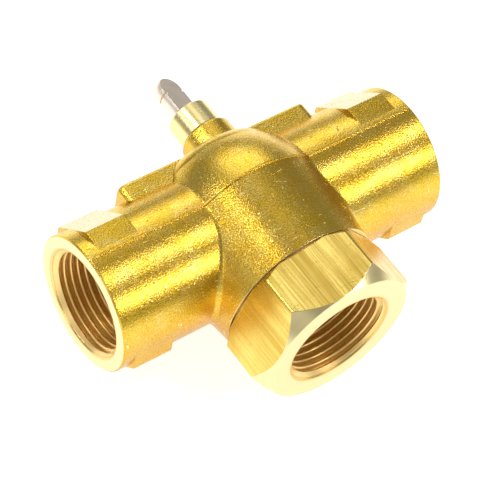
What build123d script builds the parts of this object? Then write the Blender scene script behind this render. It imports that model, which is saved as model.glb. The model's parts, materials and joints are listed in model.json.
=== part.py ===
from build123d import *
import math
import os

# Three-port zone valve, body lying flat. +X along the run, -Y out of the third port,
# +Y along the stem, +Z up. Origin under the middle of the outer box, on its lowest face.

# Overall
halfRun = 45.5             # run axis crossing to each end face
thirdReach = 37.0          # crossing to the third port's face
stemOffX = 3.8             # stem axis from the crossing, along the run
stemOffZ = 5.0             # stem axis from the crossing, upwards

# Pipe threads, plain walls at the major radius
portRadius = 13.22         # G 3/4
portDepth = 0.35 * halfRun
portChamfer = 0.4
portTaper = 2.0
bonnetRadius = portRadius + 3.4    # G 1, end connector into body
threadGap = 0.04

# Forged body
armRadius = portRadius + 3.63
armEndChamfer = 0.35
padStart = 3.6             # wrench pad from the end face
padLength = 10.2
padInset = 0.06
rimRadius = bonnetRadius + 3.28
bellyRadius = rimRadius + 2.4      # central body at the forging's parting plane
flashHeight = 0.3
flashWidth = 0.5
passageRadius = portRadius - 3.57
chamberRadius = bonnetRadius - 0.42
roofTaperStart = 2.0
threadSocketDepth = 11.5
socketWall = 0.45          # run passage to the connector socket's end
socketFloor = passageRadius + socketWall
rimY = socketFloor + threadSocketDepth     # crossing to the body's rim
plateBack = armRadius + 0.15       # actuator plate's face
plateTop = 12.0
plateLeft = 26.5
plateRight = 27.0
plateDepth = 9.0
plateCorner = 2.0
domeFlatRadius = bellyRadius - 9.1
roofThickness = 5.5
chamberRoof = plateBack - roofThickness
bossEnd = plateBack + 6.3
fixingSpacing = 40.0
fixingRadius = 1.65        # M4 tapped
fixingDepth = plateBack - portRadius - 0.28
webFillet = 1.2
plateEdgeRound = 0.7
bossEdgeRound = 0.5

# End connector
hexFlats = 2 * bonnetRadius + 4.76
hexTurn = 10.5             # corners from +X towards +Z
sealThickness = 0.3
sealInset = 0.9
hexFaceRadius = hexFlats / 2 - 0.1
hexChamferLength = 4.3
hexBackRadius = rimRadius + 0.1    # turned back to match the rim
hexEdgeRound = 0.9
connectorPassage = portRadius - 1.72
neckRadius = bonnetRadius - 0.72
neckLength = 1.6
spigotGap = 0.5            # spigot end short of the socket's end

# Stem, gland and seals
stemRadius = 3.25
runningGap = 0.04
stemFlatAngle = 70.0       # normal of the drive flat, from +X towards +Z
stemFlatDistance = stemRadius - 1.6
noseLength = 4.4
gripGrooveWidth = 0.55
gripGrooveDepth = 0.4
ringSpace = 1.35           # stem to gland socket wall
ringSqueeze = 0.035
glandSocketRadius = stemRadius + ringSpace
glandSocketFloor = chamberRoof + 2.0
bossRadius = glandSocketRadius + 2.15
glandRadius = glandSocketRadius + 1.0
glandEnd = bossEnd + 7.4
stemFlatStart = glandEnd - 0.6
gripGrooveY = glandEnd + 6.9
stemTip = glandEnd + 12.1  # crossing to the nose of the stem
tangRadius = stemRadius - 0.75
tangFlats = 2 * tangRadius - 1.2
gasketThickness = 0.5
sleeveRadius = stemRadius + 0.85
sleeveStart = plateBack + 1.6
wiperStart = glandEnd - 1.5
wiperRecess = 0.2
ringSection = ringSpace / 2 - ringSqueeze      # stem O-ring section radius
spacerThickness = 0.7
lowerRingY = glandSocketFloor + ringSection
spacerStart = lowerRingY + ringSection
upperRingY = spacerStart + spacerThickness + ringSection
glandFloor = upperRingY + ringSection + 0.34

# Plug and crank
swingRadius = 7.07         # stem axis to plug pin
seatBore = passageRadius - 2.65
ballRadius = seatBore + 1.05
ballPoleFlat = ballRadius - 0.55
crankThickness = 2.3
thrustThickness = 0.5
thrustRadius = stemRadius + 2.35
crankTop = chamberRoof - thrustThickness - 0.15
crankHubRadius = stemRadius + 0.95
crankEyeRadius = 3.0
pinRadius = 1.25
sleeveWall = 0.75
plugWasherRadius = 2.9
plugWasherThickness = 0.4
pinTail = 1.6              # pin past the washer
clipThickness = 0.5
clipRadius = 2.3
screwRadius = tangRadius - 1.0
screwLength = 6.0
screwHeadRadius = screwRadius + 1.1
screwHeadHeight = 1.2

# Seats
seatGap = 0.02
seatBallGap = 0.15         # along the run, plug to seat edge when shut
seatLength = 8.1           # right seat, face to outer end
seatLipRadius = passageRadius - 0.55
seatLipLength = 3.0
seatGrooveDepth = 1.0
seatGrooveWidth = 1.5
seatGrooveFromEnd = 1.2

# Derived places
lift = bellyRadius + flashHeight
shiftY = (thirdReach - stemTip) / 2
hexBack = rimY + sealThickness
spigotEnd = socketFloor + spigotGap
crankBottom = crankTop - crankThickness
shutX = math.sqrt(swingRadius ** 2 - stemOffZ ** 2)
washerReach = math.hypot(stemOffX, stemOffZ) + thrustRadius
crankReach = stemOffX + shutX + crankEyeRadius
chamberRoofRadius = max(washerReach, crankReach) + 0.2
seatReach = math.sqrt(ballRadius ** 2 - seatBore ** 2) + seatBallGap
seatFaces = {"left": stemOffX - shutX - seatReach, "right": stemOffX + shutX + seatReach}
seatEnd = seatFaces["right"] + seatLength
pinX = stemOffX
pinZ = stemOffZ - swingRadius


def crossRun(x):
    """Plane across the run: local x is +Y, local y is +Z, normal +X."""
    return Plane(origin=(x, shiftY, lift), x_dir=(0, 1, 0), z_dir=(1, 0, 0))


def crossStem(y, x=0, z=0):
    """Plane across the stem: local x is +X, local y is +Z, normal -Y."""
    return Plane(origin=(x, shiftY + y, lift + z), x_dir=(1, 0, 0), z_dir=(0, -1, 0))


def lengthwise(x=0, z=0):
    """Level plane through an axis parallel to the stem or the run."""
    return Plane(origin=(x, shiftY, lift + z), x_dir=(1, 0, 0), z_dir=(0, 0, 1))


def yAxis(x=0, z=0):
    return Axis((x, shiftY, lift + z), (0, 1, 0))


runAxis = Axis((0, shiftY, lift), (1, 0, 0))


def turned(points, x=0, z=0):
    """Solid of revolution about an axis along Y, from (radius, y) points."""
    with BuildPart() as piece:
        with BuildSketch(lengthwise(x, z)):
            with BuildLine():
                Polyline(*points, close=True)
            make_face()
        revolve(axis=yAxis(x, z))
    return piece.part


def ringAbout(inner, outer, y0, y1, x=0, z=0):
    return turned([(inner, y0), (outer, y0), (outer, y1), (inner, y1)], x, z)


def oRing(major, section, y, x=0, z=0):
    with BuildPart() as piece:
        with BuildSketch(lengthwise(x, z)):
            with Locations((major, y)):
                Circle(section)
        revolve(axis=yAxis(x, z))
    return piece.part


def save(part, name):
    part.label = name
    export_step(part, "parts/" + name + ".step")


os.makedirs("parts", exist_ok=True)

# Forged and machined valve body
with BuildPart() as body:
    with BuildSketch(lengthwise()):
        with BuildLine():
            Line((0, -rimY), (rimRadius, -rimY))
            Line((rimRadius, -rimY), (bellyRadius, 0))
            Spline(
                (bellyRadius, 0), (bellyRadius - 0.9, 0.294 * plateBack),
                (bellyRadius - 2.6, 0.588 * plateBack), (bellyRadius - 4.3, 0.776 * plateBack),
            )
            ThreePointArc(
                (bellyRadius - 4.3, 0.776 * plateBack),
                (bellyRadius - 5.9, 0.918 * plateBack),
                (domeFlatRadius, plateBack),
            )
            Line((domeFlatRadius, plateBack), (0, plateBack))
            Line((0, plateBack), (0, -rimY))
        make_face()
    revolve(axis=yAxis())
    with BuildSketch(crossRun(-halfRun)):
        Circle(armRadius)
    extrude(amount=2 * halfRun)
    fillet(body.edges().filter_by(GeomType.BSPLINE), webFillet)
    # actuator plate
    with BuildSketch(crossStem(plateBack)):
        with Locations(((plateRight - plateLeft) / 2, 0)):
            RectangleRounded(plateRight + plateLeft, 2 * plateTop, plateCorner)
    extrude(amount=plateDepth)
    plateRim = body.edges().filter_by_position(
        Axis.Y, shiftY + plateBack - 0.01, shiftY + plateBack + 0.01,
    )
    plateRim = plateRim.filter_by(lambda edge: abs(edge.center().X) > 8)
    fillet(plateRim, plateEdgeRound)
    # gland boss
    with BuildSketch(crossStem(bossEnd, stemOffX, stemOffZ)):
        Circle(bossRadius)
    extrude(amount=bossEnd - chamberRoof)
    bossRim = body.edges().filter_by_position(
        Axis.Y, shiftY + bossEnd - 0.01, shiftY + bossEnd + 0.01,
    )
    fillet(bossRim, bossEdgeRound)
    # wrench pads on opposite quadrants of each arm
    for start in (-halfRun + padStart, halfRun - padStart - padLength):
        with BuildSketch(crossRun(start)):
            RegularPolygon(armRadius - padInset, 8, major_radius=False, rotation=22.5)
            with Locations((-armRadius, armRadius), (armRadius, -armRadius)):
                Rectangle(2 * armRadius, 2 * armRadius, mode=Mode.SUBTRACT)
        extrude(amount=padLength)
    # parting flash round the outline
    with BuildSketch(crossStem(flashWidth / 2)):
        Circle(bellyRadius + flashHeight)
        Rectangle(2 * (halfRun - 1), 2 * (armRadius + flashHeight))
    extrude(amount=flashWidth)
    armRims = body.edges().filter_by(GeomType.CIRCLE)
    armRims = armRims.filter_by(lambda edge: abs(edge.center().X) > halfRun - 0.01)
    chamfer(armRims, armEndChamfer)
    # chamber and connector socket
    with BuildSketch(lengthwise()):
        with BuildLine():
            Polyline(
                (0, -rimY), (bonnetRadius + 0.5, -rimY), (bonnetRadius, -rimY + 0.5),
                (bonnetRadius, -socketFloor), (chamberRadius, -socketFloor),
                (chamberRadius, roofTaperStart), (chamberRoofRadius, chamberRoof),
                (0, chamberRoof), close=True,
            )
        make_face()
    revolve(axis=yAxis(), mode=Mode.SUBTRACT)
    # run passage and threaded ports
    with BuildSketch(lengthwise()):
        with BuildLine():
            Polyline(
                (-halfRun, 0), (-halfRun, portRadius + portChamfer),
                (-halfRun + portChamfer, portRadius), (-halfRun + portDepth, portRadius),
                (-halfRun + portDepth + portTaper, passageRadius),
                (halfRun - portDepth - portTaper, passageRadius), (halfRun - portDepth, portRadius),
                (halfRun - portChamfer, portRadius), (halfRun, portRadius + portChamfer),
                (halfRun, 0), close=True,
            )
        make_face()
    revolve(axis=runAxis, mode=Mode.SUBTRACT)
    # gland socket and stem hole
    with BuildSketch(crossStem(bossEnd, stemOffX, stemOffZ)):
        Circle(glandSocketRadius)
    extrude(amount=bossEnd - glandSocketFloor, mode=Mode.SUBTRACT)
    with BuildSketch(crossStem(bossEnd, stemOffX, stemOffZ)):
        Circle(stemRadius + runningGap)
    extrude(amount=bossEnd - chamberRoof + 1, mode=Mode.SUBTRACT)
    # tapped fixing holes in the plate
    with BuildSketch(crossStem(plateBack)):
        with Locations((-fixingSpacing / 2, 0), (fixingSpacing / 2, 0)):
            Circle(fixingRadius)
    extrude(amount=fixingDepth, mode=Mode.SUBTRACT)
save(body.part, "valve_body")

# Hexagonal end connector
with BuildPart() as connector:
    with BuildSketch(crossStem(-hexBack)) as hexSketch:
        RegularPolygon(hexFlats / 2, 6, major_radius=False, rotation=hexTurn)
        fillet(hexSketch.vertices(), hexEdgeRound)
    extrude(amount=thirdReach - hexBack)
    cornerRadius = hexFlats / math.sqrt(3) + 0.5
    with BuildSketch(lengthwise()):
        with BuildLine():
            Polyline(
                (0, -thirdReach), (hexFaceRadius, -thirdReach),
                (cornerRadius, -thirdReach + hexChamferLength),
                (cornerRadius, -hexBack - cornerRadius + hexBackRadius),
                (hexBackRadius, -hexBack), (0, -hexBack), close=True,
            )
        make_face()
    revolve(axis=yAxis(), mode=Mode.INTERSECT)
    with BuildSketch(lengthwise()):
        with BuildLine():
            Polyline(
                (0, -hexBack - 0.5), (neckRadius, -hexBack - 0.5), (neckRadius, -hexBack + neckLength),
                (bonnetRadius - threadGap, -hexBack + neckLength + 0.7),
                (bonnetRadius - threadGap, -spigotEnd - 0.7),
                (bonnetRadius - threadGap - 0.7, -spigotEnd), (0, -spigotEnd), close=True,
            )
        make_face()
    revolve(axis=yAxis())
    with BuildSketch(lengthwise()):
        with BuildLine():
            Polyline(
                (0, -thirdReach), (portRadius + portChamfer, -thirdReach),
                (portRadius, -thirdReach + portChamfer), (portRadius, -thirdReach + portDepth),
                (connectorPassage, -thirdReach + portDepth + 1.2),
                (connectorPassage, -spigotEnd), (0, -spigotEnd), close=True,
            )
        make_face()
    revolve(axis=yAxis(), mode=Mode.SUBTRACT)
save(connector.part, "end_connector")

save(ringAbout(bonnetRadius + 0.1, rimRadius - sealInset, -hexBack, -rimY), "connector_seal")

# Nozzle seats pressed into the run, each with an O-ring behind its lip
for side, sign in (("left", -1), ("right", 1)):
    face = abs(seatFaces[side])
    outer = passageRadius - seatGap
    grooveStart = seatEnd - seatGrooveFromEnd - seatGrooveWidth
    grooveEnd = seatEnd - seatGrooveFromEnd
    with BuildPart() as seat:
        with BuildSketch(lengthwise()):
            with BuildLine():
                Polyline(
                    (sign * face, seatBore), (sign * face, seatLipRadius),
                    (sign * (face + seatLipLength), outer), (sign * grooveStart, outer),
                    (sign * grooveStart, outer - seatGrooveDepth),
                    (sign * grooveEnd, outer - seatGrooveDepth), (sign * grooveEnd, outer),
                    (sign * seatEnd, outer), (sign * seatEnd, seatBore + 0.8),
                    (sign * (seatEnd - 0.8), seatBore), close=True,
                )
            make_face()
        revolve(axis=runAxis)
    save(seat.part, "seat_" + side)
    with BuildPart() as seatRing:
        with BuildSketch(lengthwise()):
            with Locations((sign * (grooveStart + grooveEnd) / 2, passageRadius - 0.52)):
                Circle(0.48)
        revolve(axis=runAxis)
    save(seatRing.part, "seat_oring_" + side)

# Drive stem
with BuildPart() as stem:
    with BuildSketch(lengthwise(stemOffX, stemOffZ)):
        with BuildLine():
            Polyline(
                (0, crankBottom), (tangRadius, crankBottom), (tangRadius, crankTop),
                (stemRadius, crankTop), (stemRadius, gripGrooveY - gripGrooveWidth / 2),
                (stemRadius - gripGrooveDepth, gripGrooveY - gripGrooveWidth / 2),
                (stemRadius - gripGrooveDepth, gripGrooveY + gripGrooveWidth / 2),
                (stemRadius, gripGrooveY + gripGrooveWidth / 2), (stemRadius, stemTip - noseLength),
            )
            ThreePointArc(
                (stemRadius, stemTip - noseLength),
                (stemRadius * 0.76, stemTip - noseLength * 0.31),
                (0.9, stemTip),
            )
            Line((0.9, stemTip), (0, stemTip))
            Line((0, stemTip), (0, crankBottom))
        make_face()
    revolve(axis=yAxis(stemOffX, stemOffZ))
    with BuildSketch(crossStem(stemTip + 1, stemOffX, stemOffZ)):
        with Locations(Location((0, 0), stemFlatAngle)):
            with Locations((stemFlatDistance + stemRadius, 0)):
                Rectangle(2 * stemRadius, 4 * stemRadius)
    extrude(amount=stemTip + 1 - stemFlatStart, mode=Mode.SUBTRACT)
    with BuildSketch(crossStem(crankTop, stemOffX, stemOffZ)):
        with Locations((-tangFlats / 2 - tangRadius, 0), (tangFlats / 2 + tangRadius, 0)):
            Rectangle(2 * tangRadius, 4 * tangRadius)
    extrude(amount=crankThickness + 1, mode=Mode.SUBTRACT)
    with BuildSketch(crossStem(crankBottom, stemOffX, stemOffZ)):
        Circle(screwRadius)
    extrude(amount=-screwLength, mode=Mode.SUBTRACT)
save(stem.part, "stem")

# Gland bush, its gasket, sleeve and wiper
gasketTop = bossEnd + gasketThickness
outline = [(glandSocketRadius - 0.02, glandFloor), (glandSocketRadius - 0.02, gasketTop)]
outline += [(glandRadius, gasketTop)]
outline += [(glandRadius, glandEnd - 0.4), (glandRadius - 0.4, glandEnd)]
outline += [(sleeveRadius + 0.3, glandEnd), (sleeveRadius + 0.3, wiperStart)]
outline += [(sleeveRadius, wiperStart), (sleeveRadius, sleeveStart)]
outline += [(stemRadius + runningGap, sleeveStart), (stemRadius + runningGap, glandFloor)]
save(turned(outline, stemOffX, stemOffZ), "gland_bush")
save(
    ringAbout(glandSocketRadius + 0.02, glandRadius + 0.25, bossEnd, gasketTop, stemOffX, stemOffZ),
    "gland_gasket",
)
save(
    ringAbout(stemRadius + runningGap, sleeveRadius - 0.02, sleeveStart, wiperStart, stemOffX, stemOffZ),
    "stem_sleeve",
)
save(
    ringAbout(
        stemRadius + runningGap, sleeveRadius + 0.28, wiperStart, glandEnd - wiperRecess,
        stemOffX, stemOffZ,
    ),
    "stem_wiper",
)

# Stem O-rings with a spacer, below the gland bush
ringMajor = (stemRadius + glandSocketRadius) / 2
save(oRing(ringMajor, ringSection, lowerRingY, stemOffX, stemOffZ), "stem_oring_lower")
save(
    ringAbout(
        stemRadius + runningGap, glandSocketRadius - 0.03, spacerStart, spacerStart + spacerThickness,
        stemOffX, stemOffZ,
    ),
    "oring_spacer",
)
save(oRing(ringMajor, ringSection, upperRingY, stemOffX, stemOffZ), "stem_oring_upper")

# Thrust washer under the chamber roof
save(
    ringAbout(
        stemRadius + runningGap, thrustRadius, chamberRoof - thrustThickness, chamberRoof,
        stemOffX, stemOffZ,
    ),
    "thrust_washer",
)

# Crank arm on the stem's tang
with BuildPart() as crank:
    with BuildSketch(crossStem(crankTop)):
        with Locations((stemOffX, stemOffZ)):
            Circle(crankHubRadius)
        with Locations((pinX, pinZ)):
            Circle(crankEyeRadius)
        with BuildLine():
            Polyline(
                (stemOffX - crankHubRadius, stemOffZ), (pinX - crankEyeRadius, pinZ),
                (pinX + crankEyeRadius, pinZ), (stemOffX + crankHubRadius, stemOffZ), close=True,
            )
        make_face()
        with Locations((pinX, pinZ)):
            Circle(pinRadius + 0.02, mode=Mode.SUBTRACT)
        with BuildSketch(mode=Mode.SUBTRACT):
            with Locations((stemOffX, stemOffZ)):
                Circle(tangRadius + 0.02)
                Rectangle(tangFlats + 0.04, 4 * tangRadius, mode=Mode.INTERSECT)
    extrude(amount=crankThickness)
save(crank.part, "crank_arm")

# Screw that holds the crank to the stem
with BuildPart() as screw:
    with BuildSketch(crossStem(crankBottom, stemOffX, stemOffZ)):
        Circle(screwHeadRadius)
    extrude(amount=screwHeadHeight)
    with BuildSketch(crossStem(crankBottom, stemOffX, stemOffZ)):
        Circle(screwRadius - 0.02)
    extrude(amount=-(screwLength - 0.5))
    with BuildSketch(crossStem(crankBottom - screwHeadHeight, stemOffX, stemOffZ)):
        Rectangle(0.7, 3 * screwHeadRadius)
    extrude(amount=-0.5, mode=Mode.SUBTRACT)
save(screw.part, "crank_screw")

# Ball plug on its pin
clipTop = -ballPoleFlat - plugWasherThickness
pinBottom = clipTop - pinTail
with BuildPart() as pin:
    with BuildSketch(lengthwise(pinX, pinZ)):
        with BuildLine():
            Polyline(
                (0, crankTop), (pinRadius, crankTop), (pinRadius, clipTop),
                (pinRadius - 0.3, clipTop), (pinRadius - 0.3, clipTop - clipThickness),
                (pinRadius, clipTop - clipThickness), (pinRadius, pinBottom + 0.3),
                (pinRadius - 0.3, pinBottom), (0, pinBottom), close=True,
            )
        make_face()
    revolve(axis=yAxis(pinX, pinZ))
save(pin.part, "plug_pin")

coreRadius = pinRadius + 0.03 + sleeveWall
save(ringAbout(pinRadius + 0.03, coreRadius, -ballPoleFlat, ballPoleFlat, pinX, pinZ), "plug_core")

with BuildPart() as ball:
    with BuildSketch(lengthwise(pinX, pinZ)):
        Circle(ballRadius)
        with Locations((-ballRadius, 0)):
            Rectangle(2 * ballRadius, 4 * ballRadius, mode=Mode.SUBTRACT)
        with Locations((0, ballPoleFlat + ballRadius), (0, -ballPoleFlat - ballRadius)):
            Rectangle(4 * ballRadius, 2 * ballRadius, mode=Mode.SUBTRACT)
        Rectangle(2 * coreRadius, 4 * ballRadius, mode=Mode.SUBTRACT)
    revolve(axis=yAxis(pinX, pinZ))
save(ball.part, "plug_ball")

for name, bottom, top in (
    ("plug_collar", ballPoleFlat, crankBottom), ("plug_washer", clipTop, -ballPoleFlat),
):
    save(ringAbout(pinRadius + 0.03, plugWasherRadius, bottom, top, pinX, pinZ), name)

# Open clip on the pin's tail
with BuildPart() as clip:
    with BuildSketch(crossStem(clipTop, pinX, pinZ)):
        Circle(clipRadius)
        Circle(pinRadius - 0.28, mode=Mode.SUBTRACT)
        with Locations((0, -clipRadius)):
            Rectangle(1.2, 2 * clipRadius, mode=Mode.SUBTRACT)
    extrude(amount=clipThickness)
save(clip.part, "plug_clip")
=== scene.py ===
import json
import math

import bmesh
import bpy
from mathutils import Matrix, Vector


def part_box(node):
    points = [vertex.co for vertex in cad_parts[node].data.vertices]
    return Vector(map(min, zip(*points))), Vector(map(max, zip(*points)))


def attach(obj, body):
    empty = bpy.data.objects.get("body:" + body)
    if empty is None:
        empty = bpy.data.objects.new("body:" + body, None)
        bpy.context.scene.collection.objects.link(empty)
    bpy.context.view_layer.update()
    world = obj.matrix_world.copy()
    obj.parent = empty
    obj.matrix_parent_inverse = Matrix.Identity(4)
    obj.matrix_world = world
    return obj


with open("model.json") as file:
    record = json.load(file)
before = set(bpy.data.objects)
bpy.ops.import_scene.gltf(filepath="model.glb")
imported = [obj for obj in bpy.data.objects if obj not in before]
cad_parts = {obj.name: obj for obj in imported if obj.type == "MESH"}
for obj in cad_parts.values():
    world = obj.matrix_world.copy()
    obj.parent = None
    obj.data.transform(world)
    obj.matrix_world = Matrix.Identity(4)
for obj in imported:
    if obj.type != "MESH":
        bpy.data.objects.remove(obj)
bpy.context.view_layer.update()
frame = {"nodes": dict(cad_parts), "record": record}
nodes = frame["nodes"]
mm = 0.001
print("frame loaded:", len(nodes), "pieces")

# places
mounts = {m["name"]: m for m in frame["record"]["mounts"]}
runCentre = Vector((0.0, mounts["left_port"]["pos_m"][1], mounts["left_port"]["pos_m"][2]))
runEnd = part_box("valve_body")[1][0]
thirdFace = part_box("end_connector")[0][1]
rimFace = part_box("valve_body")[0][1]

# camera and lights
cameraValues = {
    "azimuth": -46.2, "elevation": 52.2, "roll": 13.5,
    "distance": 0.500, "lens": 158.5, "shiftX": -0.0067, "shiftY": -0.0364,
}


def placeCamera(v):
    az, el, roll = (math.radians(v[k]) for k in ("azimuth", "elevation", "roll"))
    back = Vector((math.sin(az) * math.cos(el), -math.cos(az) * math.cos(el), math.sin(el)))
    level = Vector((math.cos(az), math.sin(az), 0.0))
    up = back.cross(level)
    right = level * math.cos(roll) + up * math.sin(roll)
    top = up * math.cos(roll) - level * math.sin(roll)
    data = bpy.data.cameras.new("camera")
    data.lens, data.sensor_width = v["lens"], 36.0
    data.shift_x, data.shift_y = v["shiftX"], v["shiftY"]
    data.clip_start, data.clip_end = 0.02, 20.0
    cam = bpy.data.objects.new("camera", data)
    bpy.context.scene.collection.objects.link(cam)
    turn = Matrix((right, top, back)).transposed().to_4x4()
    cam.matrix_world = Matrix.Translation(runCentre + back * v["distance"]) @ turn
    bpy.context.scene.camera = cam


placeCamera(cameraValues)

lightValues = {  # direction from the valve, distance, size along and across, watts
    "crown": {"to": (0.44, -0.18, 0.876), "far": 1.1, "size": (0.50, 0.05), "watts": 1.9},
    "front": {"to": (0.44, -0.73, 0.52), "far": 1.1, "size": (0.50, 0.06), "watts": 2.3},
    "belly": {"to": (-0.40, 0.42, 0.81), "far": 1.1, "size": (0.06, 0.45), "watts": 1.9},
    "edge": {"to": (-0.70, 0.42, 0.57), "far": 1.2, "size": (0.08, 0.40), "watts": 1.0},
    "back": {"to": (0.35, 0.80, 0.62), "far": 1.3, "size": (0.9, 0.5), "watts": 2.6},
    "roof": {"to": (0.14, 0.42, 0.89), "far": 1.1, "size": (0.40, 0.32), "watts": 0.5},
    "side": {"to": (-0.55, -0.74, 0.39), "far": 1.2, "size": (0.5, 0.35), "watts": 0.4},
    "left": {"to": (-0.95, -0.10, 0.45), "far": 1.2, "size": (0.5, 0.4), "watts": 1.0},
}


def addLights(values):
    for name, v in values.items():
        data = bpy.data.lights.new("light_" + name, "AREA")
        data.shape = "RECTANGLE"
        data.size, data.size_y = v["size"]
        data.energy = v["watts"]
        lamp = bpy.data.objects.new("light_" + name, data)
        bpy.context.scene.collection.objects.link(lamp)
        away = Vector(v["to"]).normalized()
        across = (Vector((1, 0, 0)) - away * away.x).normalized()
        turn = Matrix((across, away.cross(across), away)).transposed().to_4x4()
        lamp.matrix_world = Matrix.Translation(runCentre + away * v["far"]) @ turn


addLights(lightValues)

worldValues = {
    "colour": (1.0, 0.985, 0.96, 1.0), "strength": 0.25,  # soft light all round
    "backdrop": (0.94, 0.94, 0.94, 1.0),  # wall behind the floor
}


def buildWorld(v):
    world = bpy.data.worlds.new("studio")
    bpy.context.scene.world = world
    world.use_nodes = True
    tree = world.node_tree
    studio = tree.nodes["Background"]
    studio.inputs["Color"].default_value = v["colour"]
    studio.inputs["Strength"].default_value = v["strength"]
    wall = tree.nodes.new("ShaderNodeBackground")
    wall.inputs["Color"].default_value = v["backdrop"]
    choice = tree.nodes.new("ShaderNodeMixShader")
    rays = tree.nodes.new("ShaderNodeLightPath")
    tree.links.new(rays.outputs["Is Camera Ray"], choice.inputs[0])
    tree.links.new(studio.outputs[0], choice.inputs[1])
    tree.links.new(wall.outputs[0], choice.inputs[2])
    tree.links.new(choice.outputs[0], tree.nodes["World Output"].inputs["Surface"])


buildWorld(worldValues)
bpy.context.scene.view_settings.view_transform = "Standard"
print("camera and lights placed")


# node helpers
def addNode(tree, kind, values=None, **settings):
    node = tree.nodes.new(kind)
    for key, value in settings.items():
        setattr(node, key, value)
    for key, value in (values or {}).items():
        if isinstance(value, bpy.types.NodeSocket):
            tree.links.new(value, node.inputs[key])
        else:
            node.inputs[key].default_value = value
    return node


def mathNode(tree, operation, a, b=0.0):
    return addNode(tree, "ShaderNodeMath", {0: a, 1: b}, operation=operation).outputs[0]


def both(tree, a, b):
    return mathNode(tree, "MULTIPLY", a, b)


def either(tree, a, b):
    return mathNode(tree, "MAXIMUM", a, b)


def rampNode(tree, fac, low, high, outLow=0.0, outHigh=1.0):
    values = {"Value": fac, "From Min": low, "From Max": high, "To Min": outLow, "To Max": outHigh}
    return addNode(tree, "ShaderNodeMapRange", values, clamp=True).outputs["Result"]


def mixColour(tree, fac, a, b):
    node = addNode(tree, "ShaderNodeMix", data_type="RGBA")
    for index, value in ((0, fac), (6, a), (7, b)):
        if isinstance(value, bpy.types.NodeSocket):
            tree.links.new(value, node.inputs[index])
        else:
            node.inputs[index].default_value = value
    return node.outputs[2]


def newGroup(name, ins, outs):
    tree = bpy.data.node_groups.new(name, "ShaderNodeTree")
    for label, kind, value in ins:
        socket = tree.interface.new_socket(label, in_out="INPUT", socket_type="NodeSocket" + kind)
        if value is not None:
            socket.default_value = value
    for label, kind in outs:
        tree.interface.new_socket(label, in_out="OUTPUT", socket_type="NodeSocket" + kind)
    return tree, tree.nodes.new("NodeGroupInput"), tree.nodes.new("NodeGroupOutput")


def useGroup(tree, group, values):
    return addNode(tree, "ShaderNodeGroup", values, node_tree=group)


# shared effects
def buildGrainGroup():
    tree, gin, gout = newGroup(
        "fineGrain",
        [("Coordinate", "Vector", None), ("Size", "Float", 3000.0), ("Coarseness", "Float", 0.5)],
        [("Height", "Float"), ("Shade", "Float")],
    )
    fine = addNode(tree, "ShaderNodeTexNoise", {
        "Vector": gin.outputs["Coordinate"], "Scale": gin.outputs["Size"], "Detail": 3.0, "Roughness": 0.6,
    }).outputs["Fac"]
    wide = mathNode(tree, "MULTIPLY", gin.outputs["Size"], 0.28)
    broad = addNode(tree, "ShaderNodeTexNoise", {
        "Vector": gin.outputs["Coordinate"], "Scale": wide, "Detail": 3.0, "Roughness": 0.6,
    }).outputs["Fac"]
    height = addNode(tree, "ShaderNodeMix", {0: gin.outputs["Coarseness"], 2: fine, 3: broad}).outputs[0]
    tree.links.new(height, gout.inputs["Height"])
    tree.links.new(rampNode(tree, fine, 0.35, 0.68), gout.inputs["Shade"])
    return tree


def buildDriftGroup():
    tree, gin, gout = newGroup(
        "colourDrift",
        [("Coordinate", "Vector", None), ("Size", "Float", 60.0), ("First", "Color", (1, 1, 1, 1)),
         ("Second", "Color", (0, 0, 0, 1)), ("Amount", "Float", 1.0)],
        [("Colour", "Color")],
    )
    cloud = addNode(tree, "ShaderNodeTexNoise", {
        "Vector": gin.outputs["Coordinate"], "Scale": gin.outputs["Size"], "Detail": 5.0,
        "Roughness": 0.6, "Distortion": 0.6,
    }).outputs["Fac"]
    mask = rampNode(tree, cloud, 0.40, 0.66)
    amount = mathNode(tree, "MULTIPLY", mask, gin.outputs["Amount"])
    tree.links.new(
        mixColour(tree, amount, gin.outputs["First"], gin.outputs["Second"]), gout.inputs["Colour"])
    return tree


def buildPitGroup():
    tree, gin, gout = newGroup(
        "pitsAndNicks",
        [("Coordinate", "Vector", None), ("Size", "Float", 500.0), ("Sparseness", "Float", 0.60)],
        [("Depth", "Float")],
    )
    cells = addNode(tree, "ShaderNodeTexVoronoi", {
        "Vector": gin.outputs["Coordinate"], "Scale": gin.outputs["Size"], "Randomness": 1.0,
    }).outputs["Distance"]
    pit = rampNode(tree, cells, 0.10, 0.26, 1.0, 0.0)
    third = mathNode(tree, "MULTIPLY", gin.outputs["Size"], 0.35)
    where = addNode(tree, "ShaderNodeTexNoise", {
        "Vector": gin.outputs["Coordinate"], "Scale": third, "Detail": 2.0,
    }).outputs["Fac"]
    keep = mathNode(tree, "GREATER_THAN", where, gin.outputs["Sparseness"])
    tree.links.new(mathNode(tree, "MULTIPLY", pit, keep), gout.inputs["Depth"])
    return tree


def buildScratchGroup():
    tree, gin, gout = newGroup(
        "scratches",
        [("Coordinate", "Vector", None), ("Size", "Float", 90.0), ("Turn", "Float", 0.6)],
        [("Depth", "Float")],
    )
    parts = []
    for extra, axis in ((0.0, "Z"), (1.3, "Y"), (2.4, "X")):
        angle = mathNode(tree, "ADD", gin.outputs["Turn"], extra)
        turned = addNode(tree, "ShaderNodeVectorRotate", {
            "Vector": gin.outputs["Coordinate"], "Angle": angle,
        }, rotation_type=axis + "_AXIS").outputs[0]
        stretched = addNode(tree, "ShaderNodeVectorMath", {0: turned, 1: (1.0, 16.0, 16.0)},
                            operation="MULTIPLY").outputs[0]
        line = addNode(tree, "ShaderNodeTexNoise", {
            "Vector": stretched, "Scale": gin.outputs["Size"], "Detail": 1.0,
        }).outputs["Fac"]
        parts.append(rampNode(tree, line, 0.735, 0.77))
    tree.links.new(either(tree, either(tree, parts[0], parts[1]), parts[2]), gout.inputs["Depth"])
    return tree


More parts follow.
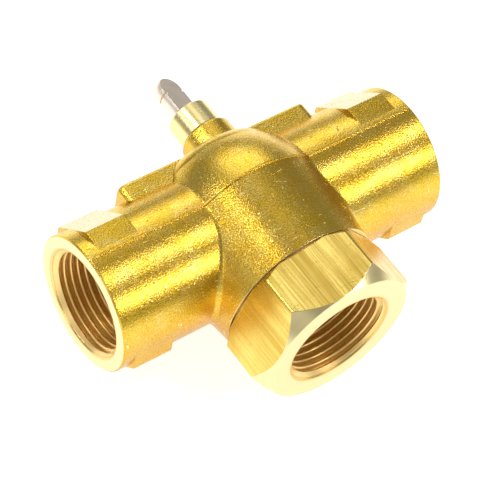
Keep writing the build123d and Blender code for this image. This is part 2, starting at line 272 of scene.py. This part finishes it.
def buildToolGroup():
    tree, gin, gout = newGroup(
        "toolLines",
        [("Across", "Float", 0.0), ("Along", "Float", 0.0), ("Pitch", "Float", 8000.0)],
        [("Height", "Float")],
    )
    place = addNode(tree, "ShaderNodeCombineXYZ", {
        "X": mathNode(tree, "MULTIPLY", gin.outputs["Across"], gin.outputs["Pitch"]),
        "Y": mathNode(tree, "MULTIPLY", gin.outputs["Along"], 60.0),
    }).outputs[0]
    layers = []
    for scale, detail in ((1.0, 3.0), (0.22, 2.0)):  # fine lines, then coarse ones
        lines = addNode(tree, "ShaderNodeTexNoise", {"Vector": place, "Scale": scale, "Detail": detail})
        layers.append(mathNode(tree, "MULTIPLY", lines.outputs["Fac"], 0.6))
    tree.links.new(mathNode(tree, "ADD", layers[0], layers[1]), gout.inputs["Height"])
    return tree


grainGroup = buildGrainGroup()
driftGroup = buildDriftGroup()
pitGroup = buildPitGroup()
scratchGroup = buildScratchGroup()
toolGroup = buildToolGroup()
print("shared effects built")


def newMaterial(name):
    material = bpy.data.materials.new(name)
    material.use_nodes = True
    tree = material.node_tree
    shader = tree.nodes["Principled BSDF"]
    place = addNode(tree, "ShaderNodeTexCoord").outputs["Object"]
    split = addNode(tree, "ShaderNodeSeparateXYZ", {0: place}).outputs
    return material, tree, shader, place, split


def radiusFrom(tree, a, centreA, b, centreB):
    da = mathNode(tree, "SUBTRACT", a, centreA)
    db = mathNode(tree, "SUBTRACT", b, centreB)
    square = mathNode(tree, "ADD", both(tree, da, da), both(tree, db, db))
    return mathNode(tree, "SQRT", square)


def surfaceNormal(tree):
    facing = addNode(tree, "ShaderNodeTexCoord").outputs["Normal"]
    return addNode(tree, "ShaderNodeSeparateXYZ", {0: facing}).outputs


def bumpNode(tree, height, distance, strength, normal=None, invert=False):
    values = {"Height": height, "Distance": distance, "Strength": strength}
    if normal is not None:
        values["Normal"] = normal
    return addNode(tree, "ShaderNodeBump", values, invert=invert).outputs[0]


def roundedEdges(tree, radius):
    return addNode(tree, "ShaderNodeBevel", {"Radius": radius}, samples=4).outputs[0]


# forged and machined body
forgedValues = {
    "gold": (0.84, 0.55, 0.042, 1), "orange": (0.76, 0.38, 0.035, 1), "pale": (0.99, 0.84, 0.34, 1),
    "machined": (0.96, 0.78, 0.40, 1), "bore": (0.96, 0.66, 0.24, 1), "pit": (0.30, 0.15, 0.03, 1),
    # the next row holds painted colours: shade for faces turned downwards, pale reflection for the upper
    # wrench pads
    "under": (0.60, 0.28, 0.03, 1), "pad": (0.95, 0.80, 0.66, 1), "speckle": (0.58, 0.34, 0.02, 1),
    "rough": 0.21, "roughMachined": 0.27,
    "grainSize": 2700.0, "orangeSize": 55.0, "paleSize": 210.0, "pitSize": 900.0, "nickSize": 70.0,
    "dentSize": 160.0, "ringPitch": 5200.0,
    "grainDepth": 0.085 * mm, "pitDepth": 0.08 * mm, "dentDepth": 0.16 * mm, "ringDepth": 0.02 * mm,
    "edge": 0.35 * mm,
    "boreRadius": 13.9 * mm, "boreFrom": 16.5 * mm,  # bore colour, outwards from the middle
    "padFrom": 13.8 * mm, "padTo": 3.6 * mm,  # wrench pads, inwards from the end face
}


def forgedBrass(v):
    material, tree, shader, place, split = newMaterial("forged_brass_skin")
    x, y, z = split
    grain = useGroup(tree, grainGroup, {"Coordinate": place, "Size": v["grainSize"], "Coarseness": 0.2})
    drift = useGroup(tree, driftGroup, {
        "Coordinate": place, "Size": v["orangeSize"], "First": v["gold"], "Second": v["orange"],
        "Amount": 0.45})
    blush = useGroup(tree, driftGroup, {
        "Coordinate": place, "Size": v["paleSize"], "First": drift.outputs["Colour"],
        "Second": v["pale"], "Amount": 0.22})
    pits = useGroup(tree, pitGroup, {
        "Coordinate": place, "Size": v["pitSize"], "Sparseness": 0.62}).outputs["Depth"]
    nicks = useGroup(tree, scratchGroup, {
        "Coordinate": place, "Size": v["nickSize"], "Turn": 0.5}).outputs["Depth"]
    # machined zones: port faces, bores and the rim
    outward = mathNode(tree, "ABSOLUTE", x)
    faceMask = mathNode(tree, "GREATER_THAN", outward, runEnd - 0.04 * mm)
    rimMask = mathNode(tree, "LESS_THAN", y, rimFace + 0.10 * mm)
    runRadius = radiusFrom(tree, y, runCentre.y, z, runCentre.z)
    inBore = mathNode(tree, "LESS_THAN", runRadius, v["boreRadius"])
    boreMask = both(tree, inBore, mathNode(tree, "GREATER_THAN", outward, v["boreFrom"]))
    flatMask = either(tree, faceMask, rimMask)
    machined = either(tree, flatMask, boreMask)
    forged = mathNode(tree, "SUBTRACT", 1.0, machined)
    # painted shade: darker on faces turned downwards; painted reflection: paler on the slanted flat of
    # each upper wrench pad
    normal = surfaceNormal(tree)
    shadeBelowAmount = rampNode(tree, normal[2], 0.45, -0.45, 0.0, 0.85)
    paintedLightColour = mixColour(tree, shadeBelowAmount, blush.outputs["Colour"], v["under"])
    # painted reflection: the flats of the upper wrench pads made paler
    padStart = mathNode(tree, "GREATER_THAN", outward, runEnd - v["padFrom"])
    padEnd = mathNode(tree, "LESS_THAN", outward, runEnd - v["padTo"])
    slant = both(tree, rampNode(tree, normal[1], 0.50, 0.66), rampNode(tree, normal[2], 0.50, 0.66))
    padMask = both(tree, both(tree, padStart, padEnd), slant)
    paintedLightColour = mixColour(tree, both(tree, padMask, 0.6), paintedLightColour, v["pad"])
    # speckle of the grain, then pits and bright nicks
    low = rampNode(tree, grain.outputs["Shade"], 0.0, 0.45, 0.34, 0.0)
    high = rampNode(tree, grain.outputs["Shade"], 0.55, 1.0, 0.0, 0.30)
    colour = mixColour(tree, low, paintedLightColour, v["speckle"])
    colour = mixColour(tree, high, colour, v["pale"])
    colour = mixColour(tree, both(tree, pits, 0.45), colour, v["pit"])
    colour = mixColour(tree, both(tree, nicks, 0.8), colour, v["pale"])
    colour = mixColour(tree, flatMask, colour, v["machined"])
    colour = mixColour(tree, boreMask, colour, v["bore"])
    tree.links.new(colour, shader.inputs["Base Color"])
    shader.inputs["Metallic"].default_value = 1.0
    uneven = rampNode(tree, grain.outputs["Shade"], 0.0, 1.0, v["rough"] + 0.12, v["rough"] - 0.05)
    rough = addNode(tree, "ShaderNodeMix", {0: machined, 2: uneven, 3: v["roughMachined"]}).outputs[0]
    tree.links.new(rough, shader.inputs["Roughness"])
    # bumps, largest first
    dents = addNode(tree, "ShaderNodeTexNoise", {
        "Vector": place, "Scale": v["dentSize"], "Detail": 2.0}).outputs["Fac"]
    rings = useGroup(tree, toolGroup, {
        "Across": runRadius, "Along": 0.0, "Pitch": v["ringPitch"]}).outputs["Height"]
    skin = roundedEdges(tree, v["edge"])
    skin = bumpNode(tree, both(tree, dents, forged), v["dentDepth"], 0.5, skin)
    skin = bumpNode(tree, both(tree, rings, faceMask), v["ringDepth"], 0.6, skin)
    marks = both(tree, either(tree, pits, nicks), forged)
    skin = bumpNode(tree, marks, v["pitDepth"], 0.7, skin, invert=True)
    skin = bumpNode(tree, both(tree, grain.outputs["Height"], forged), v["grainDepth"], 0.9, skin)
    tree.links.new(skin, shader.inputs["Normal"])
    return material


# drawn and turned brass of the hexagon
connectorValues = {
    "gold": (0.96, 0.74, 0.20, 1), "deep": (0.62, 0.39, 0.05, 1), "face": (0.90, 0.77, 0.40, 1),
    "ring": (0.72, 0.55, 0.22, 1), "bore": (0.86, 0.56, 0.16, 1), "rough": 0.24, "roughFace": 0.30,
    "driftSize": 70.0, "nickSize": 60.0, "drawPitch": 2600.0, "ringPitch": 4200.0,
    "drawDepth": 0.07 * mm, "ringDepth": 0.02 * mm, "nickDepth": 0.04 * mm, "edge": 0.3 * mm,
    "boreRadius": 13.9 * mm, "drawRadius": 20.0 * mm,  # where the draw lines keep their pitch
}


def drawnBrass(v):
    material, tree, shader, place, split = newMaterial("drawn_brass")
    x, y, z = split
    axisRadius = radiusFrom(tree, x, runCentre.x, z, runCentre.z)
    frontMask = mathNode(tree, "LESS_THAN", surfaceNormal(tree)[1], -0.30)
    sides = mathNode(tree, "SUBTRACT", 1.0, frontMask)
    boreMask = mathNode(tree, "LESS_THAN", axisRadius, v["boreRadius"])
    rise = mathNode(tree, "SUBTRACT", z, runCentre.z)
    swing = mathNode(tree, "ARCTAN2", rise, mathNode(tree, "SUBTRACT", x, runCentre.x))
    draw = useGroup(tree, toolGroup, {
        "Across": both(tree, swing, v["drawRadius"]), "Along": y, "Pitch": v["drawPitch"],
    }).outputs["Height"]
    rings = useGroup(tree, toolGroup, {
        "Across": axisRadius, "Along": 0.0, "Pitch": v["ringPitch"]}).outputs["Height"]
    drift = useGroup(tree, driftGroup, {
        "Coordinate": place, "Size": v["driftSize"], "First": v["gold"], "Second": v["deep"],
        "Amount": 0.6})
    nicks = useGroup(tree, scratchGroup, {
        "Coordinate": place, "Size": v["nickSize"], "Turn": 0.2}).outputs["Depth"]
    streak = rampNode(tree, draw, 0.50, 0.78)
    colour = mixColour(tree, both(tree, streak, 0.85), drift.outputs["Colour"], v["deep"])
    faced = mixColour(tree, rampNode(tree, rings, 0.55, 0.85, 0.0, 0.35), v["face"], v["ring"])
    colour = mixColour(tree, frontMask, colour, faced)
    colour = mixColour(tree, boreMask, colour, v["bore"])
    tree.links.new(colour, shader.inputs["Base Color"])
    shader.inputs["Metallic"].default_value = 1.0
    rough = rampNode(tree, draw, 0.35, 0.85, v["rough"] - 0.05, v["rough"] + 0.10)
    rough = addNode(tree, "ShaderNodeMix", {0: frontMask, 2: rough, 3: v["roughFace"]}).outputs[0]
    tree.links.new(rough, shader.inputs["Roughness"])
    skin = roundedEdges(tree, v["edge"])
    skin = bumpNode(tree, both(tree, draw, sides), v["drawDepth"], 0.8, skin)
    skin = bumpNode(tree, both(tree, rings, frontMask), v["ringDepth"], 0.5, skin)
    skin = bumpNode(tree, nicks, v["nickDepth"], 0.4, skin, invert=True)
    tree.links.new(skin, shader.inputs["Normal"])
    return material


# other metals
turnedValues = {
    "gland": {
        "colour": (1.0, 0.86, 0.42, 1), "deep": (0.94, 0.72, 0.26, 1), "rough": 0.26, "pitch": 6000.0},
    "thread": {
        "colour": (0.98, 0.74, 0.29, 1), "deep": (0.94, 0.60, 0.23, 1), "rough": 0.36, "pitch": 2500.0},
    "inner": {
        "colour": (0.88, 0.62, 0.22, 1), "deep": (0.76, 0.45, 0.14, 1), "rough": 0.32, "pitch": 4000.0},
    "steel": {
        "colour": (0.98, 0.87, 0.74, 1), "deep": (0.86, 0.74, 0.60, 1), "rough": 0.40, "pitch": 5200.0},
}


def turnedMetal(name, v):
    material, tree, shader, place, split = newMaterial(name)
    drift = useGroup(tree, driftGroup, {
        "Coordinate": place, "Size": 240.0, "First": v["colour"], "Second": v["deep"], "Amount": 0.55})
    lines = useGroup(tree, toolGroup, {
        "Across": split[1], "Along": split[0], "Pitch": v["pitch"]}).outputs["Height"]
    grain = useGroup(tree, grainGroup, {"Coordinate": place, "Size": 5200.0, "Coarseness": 0.3})
    colour = mixColour(tree, both(tree, grain.outputs["Shade"], 0.16), drift.outputs["Colour"], v["deep"])
    tree.links.new(colour, shader.inputs["Base Color"])
    shader.inputs["Metallic"].default_value = 1.0
    rough = rampNode(tree, lines, 0.3, 0.9, v["rough"] - 0.04, v["rough"] + 0.10)
    tree.links.new(rough, shader.inputs["Roughness"])
    skin = roundedEdges(tree, 0.15 * mm)
    skin = bumpNode(tree, lines, 0.02 * mm, 0.5, skin)
    skin = bumpNode(tree, grain.outputs["Height"], 0.01 * mm, 0.5, skin)
    tree.links.new(skin, shader.inputs["Normal"])
    return material


# rubber, fibre and bearing plastic
softValues = {
    "rubber": {
        "colour": (0.020, 0.020, 0.021, 1), "second": (0.045, 0.044, 0.042, 1),
        "rough": 0.52, "grain": 4200.0},
    "fibre": {
        "colour": (0.55, 0.36, 0.14, 1), "second": (0.40, 0.24, 0.09, 1), "rough": 0.80, "grain": 2600.0},
    "bearing": {
        "colour": (0.78, 0.77, 0.73, 1), "second": (0.66, 0.64, 0.59, 1), "rough": 0.45, "grain": 3600.0},
}


def mouldedStuff(name, v):
    material, tree, shader, place = newMaterial(name)[:4]
    grain = useGroup(tree, grainGroup, {"Coordinate": place, "Size": v["grain"], "Coarseness": 0.6})
    drift = useGroup(tree, driftGroup, {
        "Coordinate": place, "Size": 180.0, "First": v["colour"], "Second": v["second"], "Amount": 0.8})
    tree.links.new(drift.outputs["Colour"], shader.inputs["Base Color"])
    tree.links.new(rampNode(tree, grain.outputs["Shade"], 0, 1, v["rough"] - 0.08, v["rough"] + 0.08),
                   shader.inputs["Roughness"])
    skin = bumpNode(tree, grain.outputs["Height"], 0.03 * mm, 0.5)
    tree.links.new(skin, shader.inputs["Normal"])
    return material


finishes = {
    "forged": forgedBrass(forgedValues),
    "drawn": drawnBrass(connectorValues),
    "gland": turnedMetal("turned_brass", turnedValues["gland"]),
    "thread": turnedMetal("threaded_brass", turnedValues["thread"]),
    "inner": turnedMetal("inner_brass", turnedValues["inner"]),
    "steel": turnedMetal("ground_steel", turnedValues["steel"]),
    "rubber": mouldedStuff("black_rubber", softValues["rubber"]),
    "fibre": mouldedStuff("pressed_fibre", softValues["fibre"]),
    "bearing": mouldedStuff("bearing_plastic_skin", softValues["bearing"]),
}
pieceFinish = {
    "valve_body": "forged", "end_connector": "drawn", "connector_seal": "fibre", "gland_gasket": "fibre",
    "seat_left": "inner", "seat_right": "inner", "seat_oring_left": "rubber", "seat_oring_right": "rubber",
    "stem": "steel", "gland_bush": "gland", "stem_sleeve": "bearing", "stem_wiper": "rubber",
    "stem_oring_lower": "rubber", "stem_oring_upper": "rubber", "oring_spacer": "bearing",
    "thrust_washer": "bearing", "crank_arm": "inner", "crank_screw": "steel", "plug_pin": "steel",
    "plug_core": "inner", "plug_ball": "rubber", "plug_collar": "inner", "plug_washer": "steel",
    "plug_clip": "steel",
}
for name, finish in pieceFinish.items():
    piece = nodes[name]
    piece.data.materials.clear()
    piece.data.materials.append(finishes[finish])
print("finishes given to", len(pieceFinish), "pieces")


# pipe threads
threadValues = {
    "pitch": 1.814 * mm, "root": 13.20 * mm, "crest": 12.06 * mm, "outer": 13.21 * mm,
    "mouth": 13.58 * mm, "start": 0.40 * mm, "length": 15.0 * mm, "runOut": 1.6 * mm,
    "flatness": 1.18,  # over 1 gives small flats at crest and root
    "steps": 96, "slices": 12,  # round the ring, along one pitch
}


def cutRadius(depth, phase, v):
    wave = 0.5 - 0.5 * math.cos(2 * math.pi * phase)
    wave = min(1.0, max(0.0, (wave - 0.5) * v["flatness"] + 0.5))
    radius = v["crest"] + (v["root"] - v["crest"]) * wave
    left = (v["start"] + v["length"] - depth) / v["runOut"]
    if left < 1.0:
        radius = v["crest"] + (radius - v["crest"]) * max(0.0, left)
    return min(v["root"], max(radius, v["mouth"] - depth))


def threadRing(name, origin, inward, v):
    inward = Vector(inward)
    side = Vector((0, 0, 1))
    other = inward.cross(side)
    count = int(round((v["length"] + v["pitch"]) / v["pitch"] * v["slices"])) + 1
    end = v["start"] + v["length"]
    mesh = bmesh.new()

    def point(depth, radius, angle):
        outwards = side * math.cos(angle) + other * math.sin(angle)
        return mesh.verts.new(origin + inward * depth + outwards * radius)

    grid, rimIn, rimOut = [], [], []
    for step in range(v["steps"]):
        angle = 2 * math.pi * step / v["steps"]
        column = []
        for k in range(count):
            raw = v["start"] - v["pitch"] + v["pitch"] * (k / v["slices"] + step / v["steps"])
            depth = min(end, max(v["start"], raw))
            phase = (depth / v["pitch"] - step / v["steps"]) % 1.0
            column.append(point(depth, cutRadius(depth, phase, v), angle))
        grid.append(column)
        rimIn.append(point(v["start"], v["outer"], angle))
        rimOut.append(point(end, v["outer"], angle))
    for step in range(v["steps"]):
        following = (step + 1) % v["steps"]
        offset = v["slices"] if following == 0 else 0
        here, there = grid[step], grid[following]
        for k in range(count - 1 - offset):
            mesh.faces.new([here[k], here[k + 1], there[k + 1 + offset], there[k + offset]])
        if offset:
            mesh.faces.new([here[count - 1 - offset], here[count - offset], there[-1]])
        mesh.faces.new([here[0], there[0], rimIn[following], rimIn[step]])
        mesh.faces.new([here[-1], there[-1], rimOut[following], rimOut[step]])
        mesh.faces.new([rimIn[step], rimIn[following], rimOut[following], rimOut[step]])
    bmesh.ops.remove_doubles(mesh, verts=mesh.verts, dist=1e-7)
    bmesh.ops.dissolve_degenerate(mesh, edges=mesh.edges, dist=1e-8)
    bmesh.ops.recalc_face_normals(mesh, faces=mesh.faces)
    openEdges = sum(1 for edge in mesh.edges if len(edge.link_faces) != 2)
    data = bpy.data.meshes.new(name)
    mesh.to_mesh(data)
    mesh.free()
    for face in data.polygons:
        face.use_smooth = True
    data.set_sharp_from_angle(angle=math.radians(50))
    print(name, "open edges:", openEdges)
    piece = bpy.data.objects.new(name, data)
    bpy.context.scene.collection.objects.link(piece)
    data.materials.append(finishes["thread"])
    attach(piece, "housing")


threadRing("thread_left", Vector((-runEnd, runCentre.y, runCentre.z)), (1, 0, 0), threadValues)
threadRing("thread_right", Vector((runEnd, runCentre.y, runCentre.z)), (-1, 0, 0), threadValues)
threadRing("thread_third", Vector((runCentre.x, thirdFace, runCentre.z)), (0, 1, 0), threadValues)
print("threads cut")

# floor
floorValues = {
    "half": 4.0, "drop": 0.2 * mm, "colour": (0.72, 0.72, 0.72, 1), "fleck": (0.9, 0.9, 0.9, 1),
    "rough": 0.8, "glow": 0.80,
}


def makeFloor(v):
    data = bpy.data.meshes.new("floor")
    h = v["half"]
    data.from_pydata([(-h, -h, 0), (h, -h, 0), (h, h, 0), (-h, h, 0)], [], [(0, 1, 2, 3)])
    floor = bpy.data.objects.new("floor", data)
    floor.location.z = -v["drop"]
    bpy.context.scene.collection.objects.link(floor)
    material, tree, shader, place = newMaterial("floor_paper")[:4]
    grain = useGroup(tree, grainGroup, {"Coordinate": place, "Size": 900.0, "Coarseness": 0.5})
    tint = mixColour(tree, both(tree, grain.outputs["Shade"], 0.02), v["colour"], v["fleck"])
    tree.links.new(tint, shader.inputs["Base Color"])
    shader.inputs["Roughness"].default_value = v["rough"]
    shader.inputs["Emission Color"].default_value = (1, 1, 1, 1)
    shader.inputs["Emission Strength"].default_value = v["glow"]
    data.materials.append(material)


makeFloor(floorValues)

bpy.context.view_layer.update()
print("scene ready")
